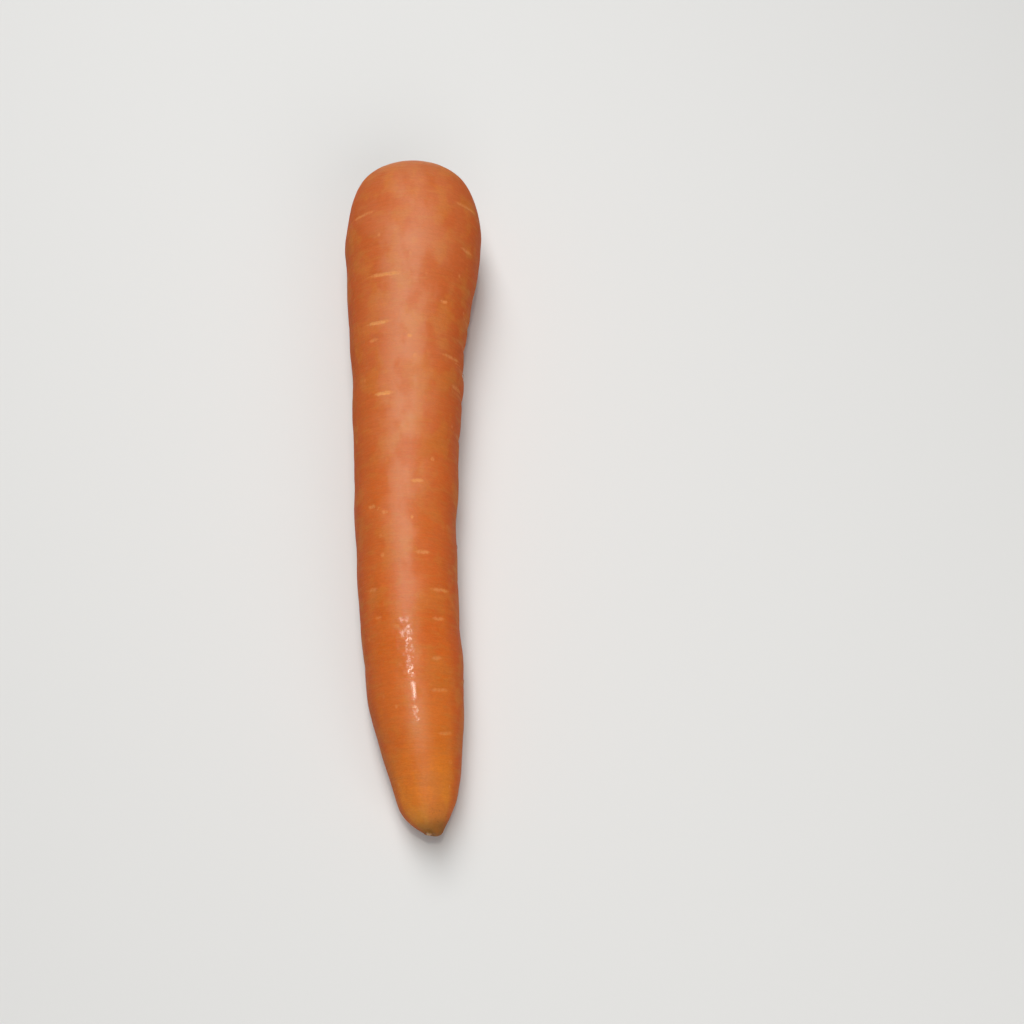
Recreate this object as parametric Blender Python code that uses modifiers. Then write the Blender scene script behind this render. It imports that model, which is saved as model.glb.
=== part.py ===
"""A topped, washed carrot lying on its side, crown towards +Y and root tip towards -Y.

The root is one grown piece, so it is one solid. Its outline is turned about the root's
axis, then shaped by formulas: the lobes of its section, the shallow valleys round its
lenticel scars, the cut leaf bases in its crown, its sideways bow and the lean that lets
it lie on its shoulder and its lower belly. A plane at the height of the table trims the
underside to the two small flat spots that it rests on.
"""

import math
import random

import bmesh
import bpy
import numpy as np

# Lengths are in metres and angles in degrees. "Station" is the distance from the rim of
# the crown towards the tip, and "bearing" is the angle round the root, 0 on top and 90
# towards +X.
ROOT_LENGTH = 0.2008
RIM_RADIUS = 0.0085
DIMPLE_DEPTH = 0.0032
SHOULDER_RADIUS = 0.0207
SHOULDER_STATION = 0.025
BELLY_RADIUS = 0.0136
BELLY_STATION = 0.157
SCAR_RADIUS = 0.0013

# The outline from the middle of the crown to the middle of the tip, as (station, radius).
OUTLINE = (
    (DIMPLE_DEPTH, 0.0),
    (DIMPLE_DEPTH * 0.97, RIM_RADIUS * 0.40),
    (DIMPLE_DEPTH * 0.55, RIM_RADIUS * 0.75),
    (0.0000, RIM_RADIUS * 1.18),
    (0.0008, 0.0130),
    (0.0040, 0.0164),
    (0.0095, 0.0189),
    (0.0165, 0.0203),
    (SHOULDER_STATION, SHOULDER_RADIUS),
    (0.033, 0.0200),
    (0.043, 0.0187),
    (0.058, 0.0171),
    (0.077, 0.0160),
    (0.102, 0.0149),
    (0.132, 0.0141),
    (BELLY_STATION, BELLY_RADIUS),
    (0.168, 0.0128),
    (0.178, 0.0111),
    (0.188, 0.0090),
    (0.193, 0.0076),
    (0.197, 0.0050),
    (0.1992, 0.0030),
    (0.2000, SCAR_RADIUS * 1.2),
    (ROOT_LENGTH - 0.0001, SCAR_RADIUS),
    (ROOT_LENGTH, SCAR_RADIUS * 0.7),
    (ROOT_LENGTH, 0.0),
)

# The root's sideways bow, as (station, offset towards +X).
BOW = (
    (0.000, -0.0004),
    (0.025, 0.0000),
    (0.043, -0.0008),
    (0.080, -0.0007),
    (0.114, -0.0003),
    (0.137, 0.0011),
    (0.162, 0.0034),
    (0.182, 0.0059),
    (0.193, 0.0074),
    (ROOT_LENGTH, 0.0094),
)
BOW_STEP = 0.001

SIDES = 36
BODY_SPACING = 0.0023
CROWN_SPACING = 0.00042
CROWN_MESH_RADIUS = 0.0110
CURVE_STEPS = 24
MERGE_DISTANCE = 1e-5

# The section's lobes: how many there are round it, their share of the radius, their
# bearing, and how far they turn over the whole length.
LOBES = (
    (2, 0.010, 25, 120),
    (3, 0.007, 70, -90),
    (5, 0.004, 10, 60),
)
# Low swellings follow one another along the root, as (length, height, lean round it). Two
# lengths that don't fit each other keep them uneven.
SWELLS = (
    (0.0170, 0.00011, 1.6),
    (0.0277, 0.00014, -2.3),
)

# The lenticel scars of the upper side, as (station, bearing, half length along the ring).
UPPER_SCARS = (
    (0.0162, 55, 0.0050),
    (0.0200, -44, 0.0045),
    (0.0295, 56, 0.0026),
    (0.0408, -20, 0.0047),
    (0.0480, 38, 0.0012),
    (0.0550, -28, 0.0035),
    (0.0598, 5, 0.0007),
    (0.0600, -33, 0.0014),
    (0.0640, 54, 0.0039),
    (0.0724, 65, 0.0027),
    (0.0767, -22, 0.0027),
    (0.0962, 33, 0.0006),
    (0.1030, 16, 0.0016),
    (0.1099, -38, 0.0013),
    (0.1120, -21, 0.0009),
    (0.1138, 10, 0.0004),
    (0.1241, 21, 0.0019),
    (0.1332, -44, 0.0017),
    (0.1347, 42, 0.0031),
    (0.1416, -36, 0.0011),
    (0.1430, 38, 0.0020),
    (0.1543, 31, 0.0014),
    (0.1631, 33, 0.0026),
    (0.1749, 39, 0.0024),
)
# The wrinkles on the right flank, under the shoulder.
FLANK_WRINKLES = (
    (0.0505, 92, 0.0060),
    (0.0575, 86, 0.0080),
    (0.0660, 90, 0.0075),
    (0.0741, 84, 0.0075),
    (0.0860, 90, 0.0060),
)
# The scars of the hidden side stand in ranks, at seeded random steps.
UNDERSIDE_SEED = 11
UNDERSIDE_RANKS = (105, 150, 205, 250)
UNDERSIDE_JITTER = 14
UNDERSIDE_STATIONS = (0.022, 0.182)
UNDERSIDE_STEP = (0.009, 0.017)
SCAR_HALF_LENGTHS = (0.0014, 0.0036)
VALLEY_DEPTH = 0.00030
VALLEY_HALF_WIDTH = 0.0013
WRINKLE_DEPTH = 0.00034
RELIEF_START = 0.009
RELIEF_FADE = 0.014

# The cut leaf bases in the crown: crescents round its middle, one golden angle apart.
LEAF_BASES = 11
LEAF_BASE_REACH = (0.0006, 0.0070)
LEAF_BASE_HEIGHTS = (0.0009, 0.0019)
LEAF_BASE_HALF_THICKNESS = 0.00058
LEAF_BASE_HALF_SPAN = 46
LEAF_BASE_EDGE = 4
LEAF_BASE_SEED = 5
GOLDEN_ANGLE = 137.508

REST_DEPTH = 0.00035
TABLE_SIZE = 0.4
ORIGIN_STATION = 0.1001

SKIN_COLOUR = (0.78, 0.25, 0.055, 1.0)
SKIN_ROUGHNESS = 0.42


def clear_scene():
    for item in list(bpy.data.objects):
        bpy.data.objects.remove(item, do_unlink=True)


def smooth_curve(points):
    """A smooth curve through the points, with CURVE_STEPS steps between two of them."""
    known = np.array(points, float)
    gaps = np.linalg.norm(np.diff(known, axis=0), axis=1)
    knots = np.concatenate([[0], np.cumsum(np.sqrt(gaps))])
    slopes = np.stack([np.gradient(known[:, axis], knots) for axis in range(2)], axis=1)
    curve = []
    for i in range(len(known) - 1):
        span = knots[i + 1] - knots[i]
        for t in np.arange(CURVE_STEPS) / CURVE_STEPS:
            start = (1 + 2 * t) * (1 - t) ** 2 * known[i] + t * (1 - t) ** 2 * span * slopes[i]
            end = t**2 * (3 - 2 * t) * known[i + 1] + t**2 * (t - 1) * span * slopes[i + 1]
            curve.append(start + end)
    curve.append(known[-1])
    return np.array(curve)


def outline_rings():
    """The turned outline's points, close together in the crown and wider along the body."""
    curve = smooth_curve(OUTLINE)
    curve[:, 1] = np.maximum(curve[:, 1], 0)
    travelled = np.concatenate([[0], np.cumsum(np.linalg.norm(np.diff(curve, axis=0), axis=1))])
    crown_end = travelled[int(np.argmax(curve[:, 1] > CROWN_MESH_RADIUS))]
    crown = np.linspace(0, crown_end, round(crown_end / CROWN_SPACING), endpoint=False)
    body_length = travelled[-1] - crown_end
    body = np.linspace(crown_end, travelled[-1], round(body_length / BODY_SPACING) + 1)
    places = np.concatenate([crown, body])
    rings = np.stack([np.interp(places, travelled, curve[:, axis]) for axis in range(2)], axis=1)
    rings[0, 1] = rings[-1, 1] = 0.0
    return rings


def turned_root():
    """The outline turned about the root's axis by a Screw modifier, as a plain mesh."""
    rings = outline_rings()
    profile = bpy.data.meshes.new("root_outline")
    profile.from_pydata(
        [(radius, 0.0, -station) for station, radius in rings],
        [(i, i + 1) for i in range(len(rings) - 1)],
        [],
    )
    turned = bpy.data.objects.new("root_outline", profile)
    bpy.context.scene.collection.objects.link(turned)
    screw = turned.modifiers.new("turn", "SCREW")
    screw.axis = "Z"
    screw.steps = screw.render_steps = SIDES
    screw.use_merge_vertices = True
    screw.merge_threshold = MERGE_DISTANCE
    bpy.context.view_layer.update()
    graph = bpy.context.evaluated_depsgraph_get()
    mesh = bpy.data.meshes.new_from_object(turned.evaluated_get(graph))
    bpy.data.objects.remove(turned, do_unlink=True)
    mesh.name = "carrot"
    return mesh


def section_scale(station, bearing):
    """How much the section's lobes widen the radius here."""
    share = 1.0
    along = station / ROOT_LENGTH
    for count, height, start, turn in LOBES:
        share += height * math.cos(count * (bearing - math.radians(start + turn * along)))
    return share


def underside_scars():
    """Scars in four ranks down the sides and the underside, at seeded random steps."""
    draw = random.Random(UNDERSIDE_SEED)
    scars = []
    for rank in UNDERSIDE_RANKS:
        station = UNDERSIDE_STATIONS[0] + draw.uniform(0, UNDERSIDE_STEP[0])
        while station < UNDERSIDE_STATIONS[1]:
            bearing = rank + draw.uniform(-UNDERSIDE_JITTER, UNDERSIDE_JITTER)
            scars.append((station, bearing, draw.uniform(*SCAR_HALF_LENGTHS)))
            station += draw.uniform(*UNDERSIDE_STEP)
    return scars


def turn_between(bearing, degrees):
    """The angle from a bearing in degrees to one in radians, the short way round."""
    return (bearing - math.radians(degrees) + math.pi) % (2 * math.pi) - math.pi


def valley(station, bearing, radius, scar, depth):
    """The depth of one scar's valley at a point of the skin."""
    scar_station, scar_bearing, half_length = scar
    across = (station - scar_station) / VALLEY_HALF_WIDTH
    along = turn_between(bearing, scar_bearing) * radius / half_length
    return depth * math.exp(-(across**2) - along**2)


def skin_relief(station, bearing, radius, scars):
    """How far the skin stands out of the turned outline, all scars and swellings together."""
    if station < RELIEF_START or radius < SCAR_RADIUS:
        return 0.0
    fade = min(1.0, (ROOT_LENGTH - station) / RELIEF_FADE, (station - RELIEF_START) / RELIEF_FADE)
    relief = 0.0
    for length, height, lean in SWELLS:
        turns = 2 * math.pi * station / length
        relief += fade * height * math.sin(turns + lean * math.sin(bearing))
    for scar in scars:
        relief -= valley(station, bearing, radius, scar, VALLEY_DEPTH)
    for wrinkle in FLANK_WRINKLES:
        relief -= valley(station, bearing, radius, wrinkle, WRINKLE_DEPTH)
    return relief


def leaf_bases():
    """Each cut leaf base as (distance from the crown's middle, bearing, height)."""
    draw = random.Random(LEAF_BASE_SEED)
    inner, outer = LEAF_BASE_REACH
    bases = []
    for i in range(LEAF_BASES):
        reach = inner + (outer - inner) * math.sqrt(i / (LEAF_BASES - 1))
        bases.append((reach, GOLDEN_ANGLE * i, draw.uniform(*LEAF_BASE_HEIGHTS)))
    return bases


def leaf_base_height(radius, bearing, bases):
    """The height of the cut leaf bases at a point of the crown's dimple."""
    height = 0.0
    for reach, middle, stub in bases:
        across = (radius - reach) / LEAF_BASE_HALF_THICKNESS
        along = turn_between(bearing, middle) / math.radians(LEAF_BASE_HALF_SPAN)
        height = max(height, stub * math.exp(-(across**LEAF_BASE_EDGE) - along**LEAF_BASE_EDGE))
    return height


def axis_height(station):
    """The axis leans, so that the shoulder and the belly both reach the table."""
    shoulder = SHOULDER_RADIUS - REST_DEPTH
    belly = BELLY_RADIUS - REST_DEPTH
    share = (station - SHOULDER_STATION) / (BELLY_STATION - SHOULDER_STATION)
    return shoulder + (belly - shoulder) * share


def laid_down(station, across, up, bow):
    """A point of the straight root, set on the bowed and leaning axis."""
    offset, ahead = np.interp((station, station + BOW_STEP), bow[:, 0], bow[:, 1])
    slope = (ahead - offset) / BOW_STEP
    lean = (axis_height(station + BOW_STEP) - axis_height(station)) / BOW_STEP
    # A section stays square to the axis, so a point off the axis moves along it a little.
    forward = across * slope + up * lean
    return offset + across, ORIGIN_STATION - station + forward, axis_height(station) + up


def shape_root(mesh):
    """Moves each point of the turned mesh to its place on the real root."""
    scars = UPPER_SCARS + tuple(underside_scars())
    bases = leaf_bases()
    bow = smooth_curve(BOW)
    for point in mesh.vertices:
        station = -point.co.z
        radius = math.hypot(point.co.x, point.co.y)
        bearing = math.atan2(point.co.y, point.co.x)
        out = radius * section_scale(station, bearing)
        out += skin_relief(station, bearing, radius, scars)
        across, up = out * math.sin(bearing), out * math.cos(bearing)
        if station < RELIEF_START:
            station -= leaf_base_height(radius, bearing, bases)
        point.co = laid_down(station, across, up, bow)


def skin_material():
    material = bpy.data.materials.new("carrot_skin")
    material.use_nodes = True
    surface = material.node_tree.nodes["Principled BSDF"]
    surface.inputs["Base Color"].default_value = SKIN_COLOUR
    surface.inputs["Roughness"].default_value = SKIN_ROUGHNESS
    surface.inputs["Metallic"].default_value = 0.0
    material.diffuse_color = SKIN_COLOUR
    return material


def table_cutter(collection):
    """A slab whose top is the table's plane. It trims the underside to its two flat spots."""
    mesh = bpy.data.meshes.new("table_cutter")
    shape = bmesh.new()
    bmesh.ops.create_cube(shape, size=TABLE_SIZE)
    bmesh.ops.translate(shape, verts=shape.verts, vec=(0, 0, -TABLE_SIZE / 2))
    shape.to_mesh(mesh)
    shape.free()
    cutter = bpy.data.objects.new("table_cutter", mesh)
    cutter.hide_render = True
    cutter.display_type = "WIRE"
    collection.objects.link(cutter)
    return cutter


def new_collection(name):
    collection = bpy.data.collections.new(name)
    bpy.context.scene.collection.children.link(collection)
    return collection


def main():
    clear_scene()
    mesh = turned_root()
    shape_root(mesh)
    mesh.materials.clear()
    mesh.materials.append(skin_material())
    mesh.shade_smooth()
    carrot = bpy.data.objects.new("carrot", mesh)
    new_collection("Carrot").objects.link(carrot)
    trim = carrot.modifiers.new("rest_on_table", "BOOLEAN")
    trim.operation = "DIFFERENCE"
    trim.object = table_cutter(new_collection("Cutters"))


main()
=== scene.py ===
# %% [markdown]
# # A washed carrot, dressed in Blender
#
# The solid form of this carrot is already built and fixed: one turned, bowed and leaning
# root, 201 mm long, that lies on a table. This notebook gives it its looks. It makes a
# much finer skin in the same place, with lenticel scars, wrinkles, a wet patch and a
# crown of cut leaf bases, then the finish of each surface, and last the light and the
# camera. Every step says what the thing is on a real carrot, how it could be made, and
# why it is made this way here.

# %% Load the frame
import math
import random

import bpy
import numpy as np
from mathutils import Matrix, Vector
from mathutils.bvhtree import BVHTree


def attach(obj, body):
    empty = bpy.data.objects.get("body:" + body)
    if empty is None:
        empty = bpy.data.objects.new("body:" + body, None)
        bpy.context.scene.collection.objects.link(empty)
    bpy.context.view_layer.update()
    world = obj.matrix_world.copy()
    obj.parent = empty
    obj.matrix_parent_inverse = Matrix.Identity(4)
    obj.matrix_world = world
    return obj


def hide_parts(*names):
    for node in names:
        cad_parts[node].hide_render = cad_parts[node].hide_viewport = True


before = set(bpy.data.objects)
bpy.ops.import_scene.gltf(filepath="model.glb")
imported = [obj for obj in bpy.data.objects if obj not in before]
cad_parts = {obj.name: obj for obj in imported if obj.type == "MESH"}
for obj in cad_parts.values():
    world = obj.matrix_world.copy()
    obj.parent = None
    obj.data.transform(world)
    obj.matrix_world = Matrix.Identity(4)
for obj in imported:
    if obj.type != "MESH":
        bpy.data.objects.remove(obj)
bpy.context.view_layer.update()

# %% [markdown]
# ## The root's own measures
#
# A carrot is a turned form that growth has pushed about. So it is described as a turner
# would: an outline from the middle of the crown to the tip, and then a bow, a few lobes
# and some low swellings. The solid was made from these same measures, and the skin repeats
# them, because a skin that is worked out again at a finer step is cleaner than one that is
# subdivided from a coarse mesh. Only the outline's last points differ: they round the stub
# at the tip, which is sharper in the solid. Stations are metres from the crown's rim
# towards the tip. Bearings are degrees round the root, 0 on top and 90 towards +X.

# %% Measures of the root
ROOT_LENGTH = 0.2008
RIM_RADIUS = 0.0085
DIMPLE_DEPTH = 0.0032
SHOULDER_RADIUS = 0.0207
SHOULDER_STATION = 0.025
BELLY_RADIUS = 0.0136
BELLY_STATION = 0.157
SCAR_RADIUS = 0.0013

# From the middle of the crown to the middle of the tip, as (station, radius).
OUTLINE = (
    (DIMPLE_DEPTH, 0.0),
    (DIMPLE_DEPTH * 0.97, RIM_RADIUS * 0.40),
    (DIMPLE_DEPTH * 0.55, RIM_RADIUS * 0.75),
    (0.0000, RIM_RADIUS * 1.18),
    (0.0008, 0.0130),
    (0.0040, 0.0164),
    (0.0095, 0.0189),
    (0.0165, 0.0203),
    (SHOULDER_STATION, SHOULDER_RADIUS),
    (0.033, 0.0200),
    (0.043, 0.0187),
    (0.058, 0.0171),
    (0.077, 0.0160),
    (0.102, 0.0149),
    (0.132, 0.0141),
    (BELLY_STATION, BELLY_RADIUS),
    (0.168, 0.0128),
    (0.178, 0.0111),
    (0.188, 0.0090),
    (0.193, 0.0076),
    (0.197, 0.0050),
    (0.1992, 0.0030),
    (0.2001, SCAR_RADIUS * 1.7),
    (0.2006, SCAR_RADIUS),
    (ROOT_LENGTH, SCAR_RADIUS * 0.4),
    (ROOT_LENGTH, 0.0),
)
print("the outline is measured at", len(OUTLINE), "points")

# %% [markdown]
# ## A smooth curve through the points
#
# A root has no corners, so its outline has to run smoothly through the measured points. A
# curve object could do that, but its points would have to be read back from it. Here a
# cubic runs from each point to the next, with slopes that the neighbours give, and the
# curve is plain numbers from the start.

# %% The smooth outline
CURVE_STEPS = 24


def smooth_curve(points):
    """A smooth curve through the points, with CURVE_STEPS steps between two of them."""
    known = np.array(points, float)
    gaps = np.linalg.norm(np.diff(known, axis=0), axis=1)
    knots = np.concatenate([[0], np.cumsum(np.sqrt(gaps))])
    slopes = np.stack([np.gradient(known[:, axis], knots) for axis in range(2)], axis=1)
    curve = []
    for i in range(len(known) - 1):
        span = knots[i + 1] - knots[i]
        for t in np.arange(CURVE_STEPS) / CURVE_STEPS:
            start = (1 + 2 * t) * (1 - t) ** 2 * known[i] + t * (1 - t) ** 2 * span * slopes[i]
            end = t**2 * (3 - 2 * t) * known[i + 1] + t**2 * (t - 1) * span * slopes[i + 1]
            curve.append(start + end)
    curve.append(known[-1])
    return np.array(curve)


outline = smooth_curve(OUTLINE)
outline[:, 1] = np.maximum(outline[:, 1], 0)
print("the outline has", len(outline), "points; widest", round(2000 * outline[:, 1].max(), 1), "mm")

# %% [markdown]
# ## A net of rings and sides
#
# The skin is a net: rings along the root, and sides round it. It could have one even step,
# but then the detail on the side that is looked at would be starved. So the rings stand
# closest in the crown and at the wet patch, and the sides are closest on top. The whole
# net stays under 200,000 triangles.

# %% The net's rings and sides
RING_STEP = 0.00047
CROWN_RING_STEP = 0.00026
WET_RING_STEP = 0.00030
CROWN_NET_RADIUS = 0.0105
CROWN_END = 0.006
WET_STATIONS = (0.139, 0.177)
SIDES = 184
TOP_CROWDING = 0.45

lengths = np.linalg.norm(np.diff(outline, axis=0), axis=1)
travelled = np.concatenate([[0], np.cumsum(lengths)])
ring_step = np.full(len(outline), RING_STEP)
ring_step[(outline[:, 1] < CROWN_NET_RADIUS) & (outline[:, 0] < CROWN_END)] = CROWN_RING_STEP
ring_step[(outline[:, 0] > WET_STATIONS[0]) & (outline[:, 0] < WET_STATIONS[1])] = WET_RING_STEP
ring_count = np.concatenate([[0], np.cumsum(lengths / ring_step[1:])])
places = np.interp(np.linspace(0, ring_count[-1], round(ring_count[-1]) + 1), ring_count, travelled)
station = np.interp(places, travelled, outline[:, 0])[1:-1, None]
radius = np.interp(places, travelled, outline[:, 1])[1:-1, None]
along_share = (places / travelled[-1])[1:-1, None]

even = np.linspace(-math.pi, math.pi, SIDES, endpoint=False)
bearing = (even - TOP_CROWDING * np.sin(even))[None, :]
print("the net has", len(station), "rings and", SIDES, "sides")

# %% [markdown]
# ## Smooth random heights
#
# A grown skin is never even, and never jagged either. Noise textures can move a mesh, but
# they need a modifier and a texture for each layer. A small lattice of random heights,
# blended smoothly between its points, does the same in a few lines. It closes on itself
# at the back of the root, and its seed makes it the same each time.


# %% A smooth random field over the skin
def skin_noise(lumps_along, lumps_round, seed):
    """Values from -1 to 1 with that many lumps along the root and round it."""
    lattice = np.random.default_rng(seed).uniform(-1, 1, (lumps_along + 2, lumps_round))
    down = along_share * lumps_along
    across = (bearing / (2 * math.pi) + 0.5) * lumps_round
    row, column = np.floor(down).astype(int), np.floor(across).astype(int)
    t, u = down - row, across - column
    t, u = t * t * (3 - 2 * t), u * u * (3 - 2 * u)
    left, right = column % lumps_round, (column + 1) % lumps_round
    upper = lattice[row, left] * (1 - u) + lattice[row, right] * u
    lower = lattice[row + 1, left] * (1 - u) + lattice[row + 1, right] * u
    return upper * (1 - t) + lower * t


def noise_layers(rows):
    """Several such fields added up, each as (lumps along, lumps round, height, seed)."""
    return sum(height * skin_noise(down, around, seed) for down, around, height, seed in rows)


def smooth_step(value, start, end):
    """0 before start, 1 after end, and an easy slope between them."""
    share = np.clip((value - start) / (end - start), 0, 1)
    return share * share * (3 - 2 * share)


sample = skin_noise(40, 20, 1)
print("a sample of noise spans", np.round([sample.min(), sample.max()], 2))

# %% [markdown]
# ## Lenticels
#
# The pale dashes across a carrot are lenticels, the scars where side roots came out. Each
# one lies in a shallow valley, has a fine slit and a corky lip, and is paler than the skin.
# The valleys are in the solid too. Here each scar gets its slit and lips as well, and the
# net stores, for every point, where it stands in the nearest scar, so that the colour can
# be drawn sharper than the net. The scars of the upper side were placed one by one from
# the real one.

# %% The lenticels of the upper side
# As (station, bearing, half length along the ring, paleness).
UPPER_SCARS = (
    (0.0162, 55, 0.0050, 0.45),
    (0.0200, -44, 0.0045, 0.50),
    (0.0295, 56, 0.0026, 0.45),
    (0.0408, -20, 0.0047, 0.80),
    (0.0480, 38, 0.0012, 0.70),
    (0.0550, -28, 0.0035, 1.00),
    (0.0598, 5, 0.0007, 0.80),
    (0.0600, -33, 0.0014, 0.45),
    (0.0640, 54, 0.0039, 0.55),
    (0.0724, 65, 0.0027, 0.50),
    (0.0767, -22, 0.0027, 1.00),
    (0.0962, 33, 0.0006, 0.60),
    (0.1030, 16, 0.0016, 0.80),
    (0.1099, -38, 0.0013, 0.55),
    (0.1120, -21, 0.0009, 0.45),
    (0.1138, 10, 0.0004, 0.80),
    (0.1241, 21, 0.0019, 0.60),
    (0.1332, -44, 0.0017, 0.38),
    (0.1347, 42, 0.0031, 0.55),
    (0.1416, -36, 0.0011, 0.32),
    (0.1430, 38, 0.0020, 0.55),
    (0.1543, 31, 0.0014, 0.42),
    (0.1631, 33, 0.0026, 0.50),
    (0.1749, 39, 0.0024, 0.45),
)
print(len(UPPER_SCARS), "lenticels on the upper side")

# %% [markdown]
# ## Scars that a seed places
#
# The scars of the hidden side stand in ranks, as side roots do, at steps that a seed draws.
# They repeat the solid's own draws. Everywhere between lie dots, the scars of side roots
# that died young. They could be a noise in the finish, but a drawn dot keeps clear of every
# other scar, as a real one does.

# %% The lenticels of the hidden side
UNDERSIDE_SEED = 11
UNDERSIDE_RANKS = (105, 150, 205, 250)
UNDERSIDE_JITTER = 14
UNDERSIDE_STATIONS = (0.022, 0.182)
UNDERSIDE_STEP = (0.009, 0.017)
SCAR_HALF_LENGTHS = (0.0014, 0.0036)
UNDERSIDE_PALENESS = 0.7


def underside_scars():
    """The same draws as the solid's, so that each scar lies in its valley."""
    draw = random.Random(UNDERSIDE_SEED)
    scars = []
    for rank in UNDERSIDE_RANKS:
        place = UNDERSIDE_STATIONS[0] + draw.uniform(0, UNDERSIDE_STEP[0])
        while place < UNDERSIDE_STATIONS[1]:
            turned = rank + draw.uniform(-UNDERSIDE_JITTER, UNDERSIDE_JITTER)
            scars.append((place, turned, draw.uniform(*SCAR_HALF_LENGTHS), UNDERSIDE_PALENESS))
            place += draw.uniform(*UNDERSIDE_STEP)
    return scars


large_scars = [*UPPER_SCARS, *underside_scars()]
print(len(large_scars), "lenticels in all")

# %% Dots between the lenticels
DOT_SEED = 23
DOTS = 110
DOT_STATIONS = (0.012, 0.192)
DOT_HALF_LENGTHS = (0.00025, 0.0008)
DOT_PALENESS = (0.15, 0.45)
DOT_CLEARANCE = 0.0032


def radius_at(place):
    """The turned radius of the body at a station past the dome."""
    body = outline[:, 0].argmin()
    return float(np.interp(place, outline[body:, 0], outline[body:, 1]))


def distance_on_skin(first, second):
    """How far two scars are from each other, along the root and the short way round it."""
    turn = (first[1] - second[1] + 180) % 360 - 180
    return math.hypot(first[0] - second[0], math.radians(turn) * radius_at(first[0]))


def small_dots(scars):
    """Tiny side root scars, each clear of every other one."""
    draw = random.Random(DOT_SEED)
    dots = []
    for _ in range(DOTS):
        dot = (
            draw.uniform(*DOT_STATIONS),
            draw.uniform(-180, 180),
            draw.uniform(*DOT_HALF_LENGTHS),
            draw.uniform(*DOT_PALENESS),
        )
        clear = DOT_CLEARANCE + DOT_HALF_LENGTHS[1]
        if all(distance_on_skin(dot, other) > clear + other[2] for other in (*scars, *dots)):
            dots.append(dot)
    return dots


dot_scars = small_dots(large_scars)
print(len(dot_scars), "dots between them")

# %% [markdown]
# ## The relief of the skin
#
# Everything that stands out of the turned outline or sinks into it is added up here, in
# metres: swellings, valleys, creases on the flank, slits and lips, soft lumps, and the fine
# cross wrinkles of a root that has lost a little water. All of it could be painted as bump,
# but the outline and the highlight would stay those of a machined part, so all that is
# wider than half a millimetre is real shape.

# %% Valleys of the lenticels and creases of the flank
VALLEY_DEPTH = 0.00030
VALLEY_HALF_WIDTH = 0.0013
WRINKLE_DEPTH = 0.00034
# Creases as (station, bearing, half length along the ring).
FLANK_WRINKLES = (
    (0.0505, 92, 0.0060),
    (0.0575, 86, 0.0080),
    (0.0660, 90, 0.0075),
    (0.0741, 84, 0.0075),
    (0.0860, 90, 0.0060),
)


def turn_from(degrees):
    """The angle from a bearing in degrees to each side of the net, the short way round."""
    return (bearing - math.radians(degrees) + math.pi) % (2 * math.pi) - math.pi


def across_and_along(scar):
    """The distance across a scar in metres, and the place along it, 1 at its ends."""
    return station - scar[0] + 0 * bearing, turn_from(scar[1]) * radius / scar[2]


def valleys():
    """How deep each point lies in valleys and creases. Short scars have shallow ones."""
    depth = 0
    for marks, deepest in ((large_scars, VALLEY_DEPTH), (FLANK_WRINKLES, WRINKLE_DEPTH)):
        for mark in marks:
            across, along = across_and_along(mark)
            small = min(1, mark[2] / VALLEY_HALF_WIDTH)
            near = (across / VALLEY_HALF_WIDTH) ** 2 + (along * small) ** 2
            depth = depth + deepest * small * np.exp(-near)
    return depth


valley_depth = valleys()
print("the deepest valley goes down", round(1000 * float(valley_depth.max()), 2), "mm")

# %% Slits and lips of the lenticels
SLIT_DEPTH = 0.00013
SLIT_HALF_WIDTH = 0.00032
LIP_HEIGHT = 0.00006
LIP_DISTANCE = 0.00078
LIP_HALF_WIDTH = 0.00035
SLIT_WANDER = ((90, 60, 0.00018, 49),)
# A scar of the first half length has no slit, and one that is longer by the second a full one.
SLIT_SHORTEST = 0.0006
SLIT_GROWTH = 0.001


def slits_and_lips():
    height = 0
    ragged = noise_layers(SLIT_WANDER)
    for scar in large_scars:
        across, along = across_and_along(scar)
        across = across + ragged
        slit = np.exp(-((across / SLIT_HALF_WIDTH) ** 2))
        lips = np.exp(-(((np.abs(across) - LIP_DISTANCE) / LIP_HALF_WIDTH) ** 2))
        share = min(1, max(0, scar[2] - SLIT_SHORTEST) / SLIT_GROWTH)
        strength = scar[3] * np.exp(-(along**4)) * share
        height = height + strength * (LIP_HEIGHT * lips - SLIT_DEPTH * slit)
    return height


scar_height = slits_and_lips()
print("the highest lip stands up", round(1000 * float(scar_height.max()), 3), "mm")

# %% Add up the relief
RELIEF_START = 0.009
RELIEF_FADE = 0.014
DIMPLE_FADE = (0.7, 1.5)      # where lumps and slits begin, in radii of the crown's rim
# Low swellings along the root, as (length, height, lean round it).
SWELLS = ((0.0170, 0.00011, 1.6), (0.0277, 0.00014, -2.3))
LUMPS = (
    (24, 10, 0.00013, 40),
    (62, 27, 0.000045, 41),
    (140, 8, 0.000016, 42),
    (210, 16, 0.000010, 43),
)

swell_fade = np.clip(
    np.minimum((ROOT_LENGTH - station) / RELIEF_FADE, (station - RELIEF_START) / RELIEF_FADE), 0, 1
)
swells = sum(
    height * np.sin(2 * math.pi * station / length + lean * np.sin(bearing))
    for length, height, lean in SWELLS
)
on_body = (station >= RELIEF_START) & (radius > SCAR_RADIUS)
past_dimple = smooth_step(radius, RIM_RADIUS * DIMPLE_FADE[0], RIM_RADIUS * DIMPLE_FADE[1])
relief = np.where(on_body, swells * swell_fade - valley_depth, 0)
relief = relief + past_dimple * (noise_layers(LUMPS) + scar_height)
print("the relief spans", np.round(1000 * np.array([relief.min(), relief.max()]), 2), "mm")

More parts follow.
